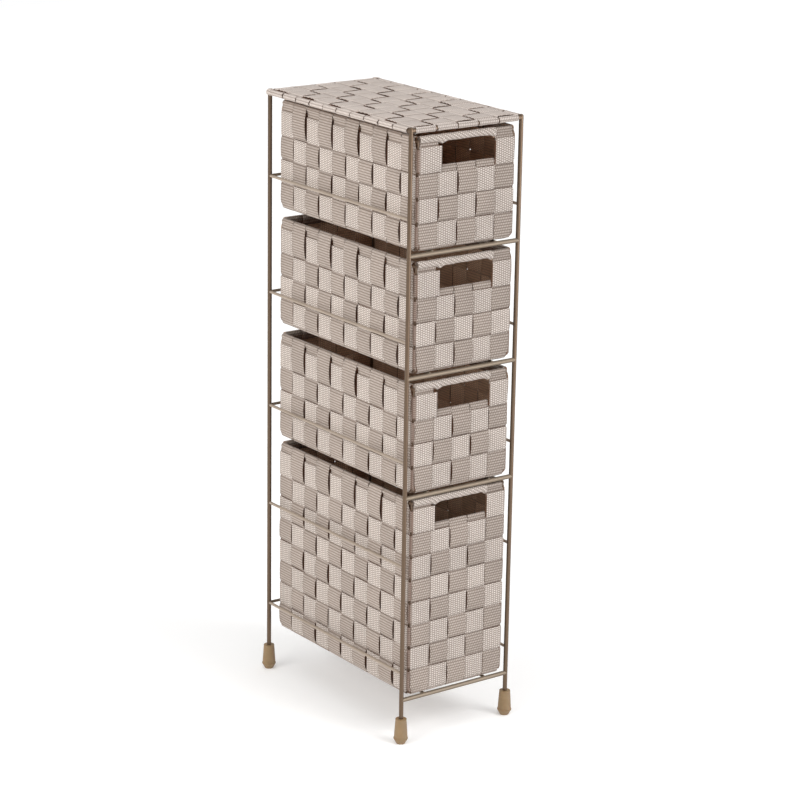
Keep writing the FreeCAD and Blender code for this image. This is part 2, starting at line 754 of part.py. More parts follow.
def drawer_wires(tier, height_name):
    """Wire skeleton of one drawer and the strap wound round its grip."""
    bottom = "Places.crossbar_level_%s + Places.seat_rise" % tier
    rim_level = "%s + Places.%s - Places.rim_wire_drop" % (bottom, height_name)
    base_level = "%s + Places.wall_half + Places.bend_radius" % bottom
    handle_level = "%s + Places.%s - Places.handle_wire_drop" % (bottom, height_name)
    corner_x = "Places.basket_half_width - Places.bend_radius"
    corner_y = "Places.basket_half_depth - Places.bend_radius"
    rim = wire_ring("Sizes.rim_wire_diameter", "Places.basket_half_width - Places.rim_wire_inset",
                    "Places.basket_half_depth - Places.rim_wire_inset", "Sizes.rim_corner_radius", rim_level)
    base = wire_ring("Sizes.basket_wire_diameter", corner_x, corner_y, "Sizes.base_corner_radius", base_level)
    uprights = []
    for _, y_sign in FRONT_REAR:
        for _, x_sign in LEFT_RIGHT:
            y = "Places.basket_middle %s (%s)" % (y_sign or "+", corner_y)
            uprights.append(rod("z", "Sizes.basket_wire_diameter", "%s - (%s)" % (rim_level, base_level),
                                "%s(%s)" % (x_sign, corner_x), y, base_level))
    corners = cut(cut(fused(uprights), rim), base)
    front_y = "Places.basket_middle - (%s)" % corner_y
    handle = rod("x", "Sizes.basket_wire_diameter", "2 * (%s)" % corner_x, "-(%s)" % corner_x,
                 front_y, handle_level)
    keep(rim, "drawer_%s_rim_wire" % tier)
    keep(base, "drawer_%s_base_wire" % tier)
    keep(corners, "drawer_%s_corner_wires" % tier)
    keep(cut(handle, corners), "drawer_%s_handle_wire" % tier)

    grip_y = "Places.basket_middle - (Places.basket_half_depth - Places.rim_wire_inset)"
    grip_half = "Places.slot_half_width - Sizes.grip_end_clearance"
    winding = rod("x", "2 * Places.grip_radius", "2 * (%s)" % grip_half, "-(%s)" % grip_half,
                  grip_y, rim_level)
    bore = rod("x", "2 * (Places.grip_radius - Sizes.strap_thickness)", "2 * (%s)" % grip_half,
               "-(%s)" % grip_half, grip_y, rim_level)
    keep(cut(winding, bore), "drawer_%s_grip_wrap" % tier)


for tier in TIERS:
    row_name, height_name = "shallow_row_count", "shallow_height"
    if tier == DEEP_TIER:
        row_name, height_name = "deep_row_count", "deep_height"
    drawer_wires(tier, height_name)
    woven_drawer(tier, int(size(row_name)), place(height_name))


# Checks and export

doc.recompute()
for item in doc.Objects:
    if "Invalid" in item.State or "Error" in item.State:
        raise RuntimeError("%s failed to build: %s" % (item.Label, item.State))
for item in subparts:
    if item.Shape.isNull() or not item.Shape.isValid():
        raise RuntimeError("%s has no valid shape" % item.Label)

os.makedirs("parts", exist_ok=True)
for item in subparts:
    item.Shape.exportStep("parts/%s.step" % item.Label)
print("sub-parts: %d" % len(subparts))
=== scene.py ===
import math
import random

import bpy
import numpy as np
from mathutils import Matrix, Vector


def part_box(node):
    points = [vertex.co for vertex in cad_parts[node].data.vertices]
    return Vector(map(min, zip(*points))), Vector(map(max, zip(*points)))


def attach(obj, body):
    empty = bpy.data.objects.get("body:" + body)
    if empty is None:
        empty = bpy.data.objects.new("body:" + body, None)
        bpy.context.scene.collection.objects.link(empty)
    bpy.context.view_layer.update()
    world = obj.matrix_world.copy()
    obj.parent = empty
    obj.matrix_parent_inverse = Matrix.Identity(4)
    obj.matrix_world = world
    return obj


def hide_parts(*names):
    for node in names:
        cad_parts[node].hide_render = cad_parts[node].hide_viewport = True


# Looks of the woven drawer tower.
# Metres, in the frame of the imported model: +Z is up and the drawer fronts face -Y.

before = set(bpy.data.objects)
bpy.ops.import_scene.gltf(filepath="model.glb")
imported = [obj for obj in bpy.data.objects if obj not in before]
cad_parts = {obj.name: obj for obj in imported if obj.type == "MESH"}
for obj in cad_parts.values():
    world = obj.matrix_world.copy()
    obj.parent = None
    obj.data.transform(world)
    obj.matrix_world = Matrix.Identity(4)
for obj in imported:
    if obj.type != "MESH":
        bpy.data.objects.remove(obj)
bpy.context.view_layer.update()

MM = 0.001
TIERS = ["one", "two", "three", "four"]
ROWS = {"one": 4, "two": 4, "three": 4, "four": 8}

# Weave of a basket
FRONT_COUNT = 5
SIDE_COUNT = 10
RING_COUNT = 2 * (FRONT_COUNT + SIDE_COUNT)
SLOT_COLUMNS = range(1, 4)
UPRIGHT_WIDTH = 29.8 * MM
BAND_WIDTH = 30.5 * MM
BAND_SHOWN_WIDTH = 31.1 * MM
TOP_BAND_EXTRA = 2.7 * MM
SLOT_CLEARANCE = 0.3 * MM
SLOT_LAP = 6.3 * MM

# Corners of a basket
CORNER_MARGIN = 2.8 * MM
CORNER_TRIM = 3.0 * MM
CORNER_PINCH = 2.4 * MM
# Painted shade on a band where it bends round a corner of the basket
CORNER_SHADE = 0.7
CORNER_CALM = 0.45
TRIM_RUN = 9.0 * MM

# Section of a strap
THICKNESS = 1.0 * MM
EDGE_SHARE = 0.55
WALL_HALF = 1.25 * MM

# How straps lie: lifts are measured outwards from the middle of the wall
LAYER = 0.65 * MM
INSIDE_LIFT = -0.75 * MM
BAND_LIFT = 0.95 * MM
UPRIGHT_LIFT = 1.65 * MM
FLOOR_LIFT = 0.6 * MM
BAND_BELLY = 0.3 * MM
UPRIGHT_BELLY = 1.4 * MM
TOP_ROW_SWELL = 1.8
LONG_CELL = 35 * MM
CELL_SPREAD = 0.18
BAND_RAMP = 3.0 * MM
UPRIGHT_RAMP = 5.5 * MM
FLOOR_RAMP = 7.0 * MM
BAND_LEAD = 1.5 * MM
UPRIGHT_LEAD = 0.8 * MM
END_RUN = 3.5 * MM

# Painted shade on a strap that passes under another one: how far before the cell it begins,
# and the length over which it darkens
BAND_SHADE = (0.5 * MM, 1.8 * MM)
UPRIGHT_SHADE = (0.1 * MM, 1.6 * MM)
PANEL_SHADE = (1.8 * MM, 2.2 * MM)
# Painted shade on the tails of the upright straps that hang inside the rim
TAIL_SHADE = 0.75

# Samples along a strap
SAMPLED = ("middle", "outward", "lift", "swell", "painted_shade", "pinch")
NEAR_EDGE = [0.6 * MM, 1.6 * MM, 2.8 * MM, 4.6 * MM]
STEP = 3.2 * MM
STEP_SLACK = 0.2
SMALLEST_STEP = 0.35 * MM
ARC_STEP = 1.1 * MM

# Unevenness of straps
WANDER = 0.35 * MM
UPRIGHT_WANDER = 0.6 * MM
PANEL_WANDER = 0.8 * MM
TILT = 0.12 * MM
WAVE_TURNS = (2, 3, 5, 8)
WAVE_SHARES = (0.2, 0.6)

# Folds of a basket's straps
BEND_RADIUS = 2.85 * MM
RIM_FOLD_RADIUS = 3.6 * MM
RIM_RAISE = {"one": 2.6 * MM, "two": 2.6 * MM, "three": 2.6 * MM, "four": 0.3 * MM}
RIM_TAIL = 10 * MM
HANDLE_FOLD_RADIUS = 2.2 * MM

# Top panel
PANEL_COLUMNS = 5
PANEL_ROWS = 10
PANEL_LONG_WIDTH = 31.5 * MM
PANEL_CROSS_WIDTH = 29.6 * MM
PANEL_SLIT = 0.2 * MM
PANEL_UNDER = -1.7 * MM
PANEL_OVER = 0.15 * MM
PANEL_RAMP = 5.5 * MM
PANEL_BELLY = 0.3 * MM
PANEL_CROWN = 0.25 * MM
PANEL_FOLD_RADIUS = 3.7 * MM
PANEL_TAIL = 4.5 * MM
COVER_RADIUS = 4.1 * MM
COVER_REACH = 7 * MM
COVER_PROUD = 0.4 * MM

# Sleeve of strap on the grip
GRIP_STATIONS = 64
GRIP_SIDES = 28
GRIP_HALF_HEIGHT = 4.8 * MM
GRIP_HALF_DEPTH = 4.7 * MM
GRIP_DROP = 0.2 * MM
GRIP_INSET = 1.5 * MM
GRIP_OVERHANG = 1.0 * MM
GRIP_TAPER = 0.14
GRIP_TAPER_RUN = 2.5 * MM
GRIP_WAVE = 0.35 * MM
GRIP_WAVE_UP = 0.5
GRIP_WAVE_OUT = 0.4
GRIP_TWIST = 0.25
GRIP_RIDGE = 0.12 * MM
GRIP_RIDGES = 3
GRIP_RIDGE_TURN = 9
GRIP_SPIRAL = 0.8

# Rounding of the hand slot's upper corners, where the sleeve hangs lower
DROOP = 3.2 * MM
DROOP_REACH = 4.5 * MM
DROOP_LEFT = 1.0 * MM
DROOP_RIGHT = 0.5 * MM

# Yarn of the straps
RIB_PITCH = 3.6 * MM
TONE_SHIFT = 7.0
TONE_SEED = 50.0
STAGGER = 0.5
LOOP_SHOWN = (-0.15, 0.45)
TIP_SHOWN = (0.45, 1.0)
TIP_LEAST = 0.55
LEAST_VALUE = 0.79
TONE_SHARE = 0.10
PATCH_SHARE = 0.16
PATCH_SCALE = 30.0
FIBRE_SHARE = 0.16
FIBRE_SCALE = 1400.0
FIBRE_HEIGHT = 0.25
# How far painted shade turns a strap deep brown under other straps
PAINTED_SHADE_SHARE = 0.9
# How far painted warm light tints the inner faces of the baskets
PAINTED_INNER_SHARE = 0.4

# Studio
FLOOR_REACH = 6.0
WORLD_LIGHT = 0.55
BACKDROP = 1.0

draw = random.Random(7)


def smooth(x):
    """Eased ramp from 0 to 1."""
    x = np.clip(x, 0.0, 1.0)
    return x * x * (3 - 2 * x)


# Paths of straps: the outer face is on the right-hand side and every bend turns left.

def samples(length, cells):
    """Places along a stretch: close together near the ends of its cells, wider apart elsewhere."""
    places = {0.0, length}
    for start_at, end_at, _ in cells:
        for edge, side in ((start_at, 1), (end_at, -1)):
            for reach in NEAR_EDGE:
                places.add(edge + side * reach)
                places.add(edge - side * reach)
    places = sorted(place for place in places if 0.0 <= place <= length)
    kept = [places[0]]
    for place in places[1:]:
        gap = place - kept[-1]
        if gap < SMALLEST_STEP:
            continue
        parts = max(1, math.ceil(gap / STEP - STEP_SLACK))
        kept += [kept[-1] + gap * (index + 1) / parts for index in range(parts)]
    kept[-1] = length
    return np.array(kept)


def straight(start, along, length, lifts=(0.0, 0.0, 0.0), cells=(), lead=0.0, ramp=1.0, belly=0.0,
             rise=0.0, shade=(0.0, 1.0)):
    """Straight stretch. The lifts are those at its start, between its ends and at its end. Each
    cell is (from, to, outside). Outside, the strap rises over a ramp that begins a lead before the
    cell, and bellies out between. Otherwise it passes under another strap and gets painted shade."""
    first, base, last = lifts
    distance = samples(length, cells)
    count = len(distance)
    lift = base + (first - base) * (1 - smooth(distance / END_RUN))
    lift += (last - base) * (1 - smooth((length - distance) / END_RUN))
    swell = np.zeros(count)
    painted_shade = np.zeros(count)
    for start_at, end_at, outside in cells:
        edge = np.minimum(distance - start_at, end_at - distance)
        if outside:
            hump = smooth((edge + lead) / ramp)
            share = np.clip((distance - start_at) / (end_at - start_at), 0.0, 1.0)
            lively = 1 + draw.uniform(-CELL_SPREAD, CELL_SPREAD)
            swollen = belly * (TOP_ROW_SWELL if end_at - start_at > LONG_CELL else 1.0)
            lift += hump * rise * lively + swollen * lively * np.sin(math.pi * share)
            swell += hump
        else:
            # Painted shade where the strap passes under another one
            painted_shade = np.maximum(painted_shade, smooth((edge + shade[0]) / shade[1]))
    along = np.array(along, float)
    outward = np.array([along[1], -along[0]])
    middle = np.array(start, float) + np.outer(distance, along)
    return {"middle": middle, "outward": np.tile(outward, (count, 1)), "lift": lift, "swell": swell,
            "painted_shade": painted_shade, "pinch": np.zeros(count), "length": length, "distance": distance}


def bend(centre, radius, first_angle, last_angle, painted_shade=0.0, pinch=0.0):
    """Left-hand bend about a centre, angles in degrees, with an even level of painted shade and
    pinch along it.
    """
    length = radius * math.radians(last_angle - first_angle)
    count = max(4, int(round(length / ARC_STEP)) + 1)
    share = np.linspace(0.0, 1.0, count)
    turn = np.radians(first_angle + (last_angle - first_angle) * share)
    outward = np.stack([np.cos(turn), np.sin(turn)], axis=1)
    return {"middle": np.array(centre, float) + radius * outward, "outward": outward,
            "lift": np.zeros(count), "swell": np.zeros(count), "painted_shade": np.full(count, painted_shade),
            "pinch": np.full(count, pinch), "length": length, "distance": length * share}


def joined(stretches, closed):
    """One run of samples from several stretches; the shared ends are kept once."""
    parts = {name: [] for name in SAMPLED + ("distance",)}
    travelled = 0.0
    for number, item in enumerate(stretches):
        skip = 0 if number == 0 else 1
        for name in SAMPLED:
            parts[name].append(item[name][skip:])
        parts["distance"].append(item["distance"][skip:] + travelled)
        travelled += item["length"]
    run = {name: np.concatenate(values) for name, values in parts.items()}
    if closed:
        run = {name: values[:-1] for name, values in run.items()}
    run["closed"] = closed
    return run


def part_of(item, chosen):
    """The chosen samples of a stretch, as a stretch of its own."""
    piece = {name: item[name][chosen] for name in SAMPLED}
    piece["distance"] = item["distance"][chosen] - item["distance"][chosen][0]
    piece["length"] = piece["distance"][-1]
    return piece


def slow_noise(distance, span, amount):
    """Gentle wave along a strap, different for each strap. A closed strap's wave meets itself."""
    total = np.zeros(len(distance))
    for turns in WAVE_TURNS:
        phase = draw.uniform(0, 2 * math.pi)
        size = amount * draw.uniform(*WAVE_SHARES)
        total += size * np.sin(2 * math.pi * turns * distance / span + phase)
    return total


# Meshes of straps

def new_straps():
    """Empty lists for a mesh of straps."""
    lists = ("columns", "inner", "painted_shade", "tone", "along", "across", "straps")
    return {"offset": 0, **{name: [] for name in lists}}


def strap_body(mesh, run, frame_map, across_axis, width, place=0.0, corner_side=0, crown=0.0,
               wander=WANDER):
    """Add one strap to the mesh lists: a section with round edges, swept along its run. Where the
    run is pinched, the edge on the corner's side is drawn in, or both edges where there is none."""
    half = width / 2
    quarter = half / 2
    edge = THICKNESS * EDGE_SHARE
    thick = THICKNESS / 2
    section = [(-half, 0.0, 0), (-half + edge, thick, 0), (-quarter, thick, 0), (0.0, thick, 0),
               (quarter, thick, 0), (half - edge, thick, 0), (half, 0.0, 0),
               (half - edge, -thick, 1), (0.0, -thick, 1), (-half + edge, -thick, 1)]
    count = len(run["distance"])
    span = run["distance"][-1]
    shift = slow_noise(run["distance"], span, wander)
    lean = slow_noise(run["distance"], span, TILT)
    tone = draw.random()
    across_axis = np.array(across_axis, float)
    for across, lift, inner in section:
        arch = (1 - (across / half) ** 2) * crown * (2 * run["swell"] - 1)
        total = run["lift"] + lift + arch + lean * across / half
        flat = run["middle"] + run["outward"] * total[:, None]
        if across * corner_side >= 0:
            drawn = across * (1 - run["pinch"] / half)
        else:
            drawn = np.full(count, across)
        solid = frame_map(flat) + across_axis * (place + drawn + shift)[:, None]
        mesh["columns"].append(solid)
        mesh["inner"].append(np.full(count, float(inner)))
        mesh["painted_shade"].append(run["painted_shade"])
        mesh["tone"].append(np.full(count, tone))
        mesh["along"].append(run["distance"])
        mesh["across"].append(np.full(count, across))
    sides = len(section)
    mesh["straps"].append((mesh["offset"], sides, count, run["closed"], span))
    mesh["offset"] += sides * count


def linked(name, data):
    """Object in the scene for a mesh, light or camera."""
    thing = bpy.data.objects.new(name, data)
    bpy.context.scene.collection.objects.link(thing)
    return thing


def mesh_object(name, points, faces, along, across, values, rounded):
    """Object with the lengths along and across its strap as UV map, with point values, and with
    smooth shading on the faces that are rounded."""
    data = bpy.data.meshes.new(name)
    data.from_pydata(points, [], faces)
    layer = data.uv_layers.new(name="strap")
    layer.data.foreach_set("uv", np.stack([along, across], axis=1).astype(np.float32).ravel())
    for key, numbers in values.items():
        attribute = data.attributes.new(key, "FLOAT", "POINT")
        attribute.data.foreach_set("value", numbers.astype(np.float32))
    data.polygons.foreach_set("use_smooth", rounded)
    data.update()
    return linked(name, data)


def strap_object(name, mesh):
    """Object made from the mesh lists."""
    faces = []
    corners_along = []
    corners_across = []
    along = np.concatenate(mesh["along"])
    across = np.concatenate(mesh["across"])
    for offset, sides, count, closed, span in mesh["straps"]:
        steps = count if closed else count - 1
        for side in range(sides):
            near = offset + side * count
            far = offset + ((side + 1) % sides) * count
            for step in range(steps):
                ahead = (step + 1) % count
                faces.append((near + step, far + step, far + ahead, near + ahead))
                end = along[near + ahead] if ahead else span + STEP
                corners_along += [along[near + step], along[near + step], end, end]
                corners_across += [across[near + step], across[far + step], across[far + step],
                                   across[near + step]]
        if not closed:
            faces.append([offset + side * count for side in range(sides)][::-1])
            corners_along += [along[offset]] * sides
            corners_across += [across[offset + side * count] for side in range(sides)][::-1]
            faces.append([offset + side * count + count - 1 for side in range(sides)])
            corners_along += [along[offset + count - 1]] * sides
            corners_across += [across[offset + side * count] for side in range(sides)]
    points = np.concatenate(mesh["columns"]).tolist()
    values = {key: np.concatenate(mesh[key]) for key in ("inner", "painted_shade", "tone")}
    rounded = [True] * len(faces)
    return mesh_object(name, points, faces, corners_along, corners_across, values, rounded)


def plan_map(level):
    """Maps a path drawn in plan."""
    return lambda flat: np.stack([flat[:, 0], flat[:, 1], np.full(len(flat), level)], axis=1)


def across_map(flat):
    """Maps a path drawn in the section across the tower."""
    return np.stack([flat[:, 0], np.zeros(len(flat)), flat[:, 1]], axis=1)


def deep_map(flat):
    """Maps a path drawn in the section from front to rear."""
    return np.stack([np.zeros(len(flat)), flat[:, 0], flat[:, 1]], axis=1)


def evenly(low, high, width, count):
    """Centres of straps of this width that fill a span."""
    pitch = (high - low - width) / (count - 1)
    return [low + width / 2 + pitch * index for index in range(count)]


def cells_of(centres, origin, pitch, outside):
    """Cells of a stretch, one at each strap that it crosses."""
    cells = []
    for centre, shown in zip(centres, outside):
        cells.append((centre - origin - pitch / 2, centre - origin + pitch / 2, shown))
    return cells


# Baskets

class Drawer:
    """Sizes of one drawer, read from the frame."""

    def __init__(self, tier):
        self.tier = tier
        self.rows = ROWS[tier]
        bands_low, bands_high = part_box("drawer_%s_round_bands" % tier)
        long_low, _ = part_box("drawer_%s_long_straps" % tier)
        rim_low, rim_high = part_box("drawer_%s_rim_wire" % tier)
        handle_low, handle_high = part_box("drawer_%s_handle_wire" % tier)
        rim_radius = (rim_high.z - rim_low.z) / 2
        self.half_x = bands_high.x - WALL_HALF
        self.half_y = (bands_high.y - bands_low.y) / 2 - WALL_HALF
        self.middle_y = (bands_high.y + bands_low.y) / 2
        self.bottom = long_low.z
        self.rim_level = (rim_low.z + rim_high.z) / 2
        self.rim_x = rim_high.x - rim_radius
        self.rim_y = (rim_high.y - rim_low.y) / 2 - rim_radius
        self.handle_level = (handle_low.z + handle_high.z) / 2
        field_x = self.half_x - CORNER_MARGIN
        field_y = self.half_y - CORNER_MARGIN
        self.front_places = evenly(-field_x, field_x, UPRIGHT_WIDTH, FRONT_COUNT)
        self.side_places = evenly(-field_y, field_y, UPRIGHT_WIDTH, SIDE_COUNT)
        self.slot_half = self.front_places[SLOT_COLUMNS[-1]] + UPRIGHT_WIDTH / 2 + SLOT_CLEARANCE
        self.row_places = evenly(bands_low.z, bands_high.z, BAND_WIDTH, self.rows)[::-1]
        self.front_pitch = self.front_places[1] - self.front_places[0]
        self.side_pitch = self.side_places[1] - self.side_places[0]
        self.row_pitch = self.row_places[0] - self.row_places[1]


def band_outside(place_in_ring, row):
    """Whether a round band passes outside an upright strap, counted round from the front left."""
    return (place_in_ring + row) % 2 == 0


def band_wall(row, start, along, length, first_place, count, pitch):
    """Straight stretch of a round band along one wall."""
    centres = [length / 2 + (index - (count - 1) / 2) * pitch for index in range(count)]
    outside = [band_outside(first_place + index, row) for index in range(count)]
    cells = cells_of(centres, 0.0, pitch, outside)
    return straight(start, along, length, (0.0, INSIDE_LIFT, 0.0), cells, BAND_LEAD, BAND_RAMP,
                    BAND_BELLY, BAND_LIFT - INSIDE_LIFT, BAND_SHADE)


def lay_flat(piece, cut_at_start):
    """Keep a band outside, with no painted shade, between the crest of its last cell and its cut
    end.
    """
    crest = int(np.argmax(piece["lift"]))
    chosen = slice(0, crest) if cut_at_start else slice(crest, None)
    for name in ("lift", "swell"):
        piece[name][chosen] = piece[name][crest]
    piece["painted_shade"][chosen] = 0.0


def round_bands(drawer):
    """Bands that go round one drawer; the top one stops at the hand slot."""
    mesh = new_straps()
    inner_x = drawer.half_x - BEND_RADIUS
    inner_y = drawer.half_y - BEND_RADIUS
    front_weave = (FRONT_COUNT, drawer.front_pitch)
    side_weave = (SIDE_COUNT, drawer.side_pitch)
    walls = [
        ((-inner_x, -drawer.half_y), (1, 0), 2 * inner_x, 0, *front_weave),
        ((drawer.half_x, -inner_y), (0, 1), 2 * inner_y, FRONT_COUNT, *side_weave),
        ((inner_x, drawer.half_y), (-1, 0), 2 * inner_x, FRONT_COUNT + SIDE_COUNT, *front_weave),
        ((-drawer.half_x, inner_y), (0, -1), 2 * inner_y, RING_COUNT - SIDE_COUNT, *side_weave),
    ]
    corners = [(inner_x, -inner_y), (inner_x, inner_y), (-inner_x, inner_y), (-inner_x, -inner_y)]
    for row, level in enumerate(drawer.row_places):
        stretches = []
        for number, (wall, corner) in enumerate(zip(walls, corners)):
            stretches.append(band_wall(row, *wall))
            # Painted shade on the band where it bends round a corner
            stretches.append(bend(corner, BEND_RADIUS, 90 * number - 90, 90 * number, CORNER_SHADE,
                                  CORNER_PINCH))
        extra = 0.0
        if row == 0:
            extra = TOP_BAND_EXTRA
            front = stretches[0]
            left = part_of(front, front["middle"][:, 0] <= -drawer.slot_half + SLOT_LAP)
            right = part_of(front, front["middle"][:, 0] >= drawer.slot_half)
            lay_flat(left, False)
            lay_flat(right, True)
            run = joined([right] + stretches[1:] + [left], False)
        else:
            run = joined(stretches, True)
        run["middle"] = run["middle"] + np.array([0.0, drawer.middle_y])
        strap_body(mesh, run, plan_map(level + extra / 2), (0, 0, 1), BAND_SHOWN_WIDTH + extra)
    return mesh


def wall_run(drawer, place_in_ring, half, top, top_lift, first_row, rising, calm):
    """Upright stretch of a strap between its lower bend and its upper fold. A top cell that lies
    outside is lengthened up to the rim. Calm is the share of the usual lift."""
    low = drawer.bottom + WALL_HALF + BEND_RADIUS
    length = top - low
    rows = range(first_row, drawer.rows)
    outside = [not band_outside(place_in_ring, row) for row in rows]
    centres = [drawer.row_places[row] - low for row in rows]
    if not rising:
        centres = [length - level for level in centres]
    cells = cells_of(centres, 0.0, drawer.row_pitch, outside)
    if outside[0] and not first_row:
        start_at, end_at, shown = cells[0]
        cells[0] = (start_at, length, shown) if rising else (0.0, end_at, shown)
    rise = UPRIGHT_LIFT * calm - INSIDE_LIFT
    shape = (cells, UPRIGHT_LEAD, UPRIGHT_RAMP, UPRIGHT_BELLY * calm, rise, UPRIGHT_SHADE)
    if rising:
        return straight((half, low), (0, 1), length, (0.0, INSIDE_LIFT, top_lift), *shape)
    return straight((-half, top), (0, -1), length, (top_lift, INSIDE_LIFT, 0.0), *shape)


def end_pinch(stretch, first_trim, last_trim):
    """How far the edge is drawn in along a stretch that is trimmed near its ends."""
    first_share = 1 - smooth(stretch["distance"] / TRIM_RUN)
    last_share = 1 - smooth((stretch["length"] - stretch["distance"]) / TRIM_RUN)
    return first_trim * first_share + last_trim * last_share


def upright_run(drawer, half, inset, floor_cells, near, far, near_slot, trims):
    """Run of a strap down one wall, under the floor and up the other wall. Near and far are its
    places in the ring of upright straps. The trims say how far its edge is drawn in at the near
    fold, at the far fold and at the bottom."""
    inner = half - BEND_RADIUS
    floor = drawer.bottom + WALL_HALF
    rim_level = drawer.rim_level + RIM_RAISE[drawer.tier]
    rim_lift = inset + RIM_FOLD_RADIUS - half
    near_trim, far_trim, low_trim = trims
    calm = CORNER_CALM if low_trim else 1.0
    if near_slot:
        near_level, near_x, near_radius = drawer.handle_level, inner, HANDLE_FOLD_RADIUS
        near_lift, first_row = -LAYER, 1
    else:
        near_level, near_x, near_radius = rim_level, inset, RIM_FOLD_RADIUS
        near_lift, first_row = rim_lift, 0
    floor_stretch = straight((-inner, floor), (1, 0), 2 * inner, (0.0, -FLOOR_LIFT, 0.0),
                             floor_cells, ramp=FLOOR_RAMP, rise=2 * FLOOR_LIFT,
                             shade=UPRIGHT_SHADE)
    floor_stretch["lift"] = np.minimum(floor_stretch["lift"], FLOOR_LIFT)
    near_wall = wall_run(drawer, near, half, near_level, near_lift, first_row, False, calm)
    far_wall = wall_run(drawer, far, half, rim_level, rim_lift, 0, True, calm)
    near_wall["pinch"] = end_pinch(near_wall, near_trim, low_trim)
    floor_stretch["pinch"] = end_pinch(floor_stretch, low_trim, low_trim)
    far_wall["pinch"] = end_pinch(far_wall, low_trim, far_trim)
    near_tail = straight((-near_x + near_radius, near_level - RIM_TAIL), (0, 1), RIM_TAIL)
    far_tail = straight((inset - RIM_FOLD_RADIUS, rim_level), (0, -1), RIM_TAIL)
    for tail, trim in ((near_tail, near_trim), (far_tail, far_trim)):
        tail["pinch"] += trim
        # Painted shade on the tails, which hang inside the rim
        tail["painted_shade"] += TAIL_SHADE
    stretches = [
        near_tail,
        bend((-near_x, near_level), near_radius, 0, 180, 0.0, near_trim),
        near_wall,
        bend((-inner, floor + BEND_RADIUS), BEND_RADIUS, 180, 270, 0.0, low_trim),
        floor_stretch,
        bend((inner, floor + BEND_RADIUS), BEND_RADIUS, 270, 360, 0.0, low_trim),
        far_wall,
        bend((inset, rim_level), RIM_FOLD_RADIUS, 0, 180, 0.0, far_trim),
        far_tail,
    ]
    return joined(stretches, False)


def corner_side_of(index, count):
    """Side of a strap that faces the nearest corner of the basket: -1, 1, or 0 for neither."""
    return (index == count - 1) - (index == 0)


def long_strap_outside(column, row, rows):
    """Whether a lengthwise strap passes below a crosswise one under the floor."""
    return (column + rows - 1 + row) % 2 == 0


def long_straps(drawer):
    """Straps that run down the front, under the floor and up the back."""
    mesh = new_straps()
    origin = BEND_RADIUS - drawer.half_y
    for column, x in enumerate(drawer.front_places):
        outside = [long_strap_outside(column, row, drawer.rows) for row in range(SIDE_COUNT)]
        cells = cells_of(drawer.side_places, origin, drawer.side_pitch, outside)
        side = corner_side_of(column, FRONT_COUNT)
        trims = [abs(side) * CORNER_TRIM] * 3
        if column == SLOT_COLUMNS[0]:
            side, trims = -1, (SLOT_LAP, 0.0, 0.0)
        run = upright_run(drawer, drawer.half_y, drawer.rim_y, cells, column,
                          RING_COUNT - SIDE_COUNT - 1 - column, column in SLOT_COLUMNS, trims)
        run["middle"] = run["middle"] + np.array([drawer.middle_y, 0.0])
        strap_body(mesh, run, deep_map, (1, 0, 0), UPRIGHT_WIDTH, x, side, 0.0, UPRIGHT_WANDER)
    return mesh


def cross_straps(drawer):
    """Straps that run down one side, under the floor and up the other side."""
    mesh = new_straps()
    origin = BEND_RADIUS - drawer.half_x
    for row, y in enumerate(drawer.side_places):
        outside = [not long_strap_outside(column, row, drawer.rows)
                   for column in range(FRONT_COUNT)]
        cells = cells_of(drawer.front_places, origin, drawer.front_pitch, outside)
        side = corner_side_of(row, SIDE_COUNT)
        trims = [abs(side) * CORNER_TRIM] * 3
        run = upright_run(drawer, drawer.half_x, drawer.rim_x, cells, RING_COUNT - 1 - row,
                          FRONT_COUNT + row, False, trims)
        strap_body(mesh, run, across_map, (0, 1, 0), UPRIGHT_WIDTH, y + drawer.middle_y, side, 0.0,
                   UPRIGHT_WANDER)
    return mesh


def grip_points(drawer):
    """Points of the sleeve on the grip, and its stations, from the left corner to the right end of
    the slot. It thins at its ends and hangs lower over the slot's corners."""
    low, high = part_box("drawer_%s_grip_wrap" % drawer.tier)
    start = -drawer.rim_x + GRIP_INSET
    end = drawer.slot_half + GRIP_OVERHANG
    corners = (SLOT_LAP - drawer.slot_half + DROOP_LEFT, drawer.slot_half - DROOP_RIGHT)
    centre_y = (low.y + high.y) / 2
    centre_z = drawer.rim_level - (GRIP_DROP - RIM_RAISE[drawer.tier])
    stations = np.linspace(start, end, GRIP_STATIONS)
    waves = slow_noise(stations - start, end - start, GRIP_WAVE)
    twists = slow_noise(stations - start, end - start, GRIP_TWIST)
    points = []
    for x, wave, twist in zip(stations, waves, twists):
        close = min(x - start, end - x)
        share = 1 - GRIP_TAPER + GRIP_TAPER * float(smooth(close / GRIP_TAPER_RUN))
        droop = sum(DROOP * math.exp(-((x - corner) / DROOP_REACH) ** 2) for corner in corners)
        for index in range(GRIP_SIDES):
            angle = 2 * math.pi * index / GRIP_SIDES
            ridge = GRIP_RIDGE * math.sin(GRIP_RIDGES * angle + GRIP_RIDGE_TURN * twist)
            tall = GRIP_HALF_HEIGHT * share + wave * GRIP_WAVE_UP + ridge
            deep = GRIP_HALF_DEPTH * share + wave * GRIP_WAVE_OUT + ridge
            height = tall * math.sin(angle) - droop * max(0.0, -math.sin(angle))
            points.append((x, centre_y + deep * math.cos(angle), centre_z + height))
    return points, stations


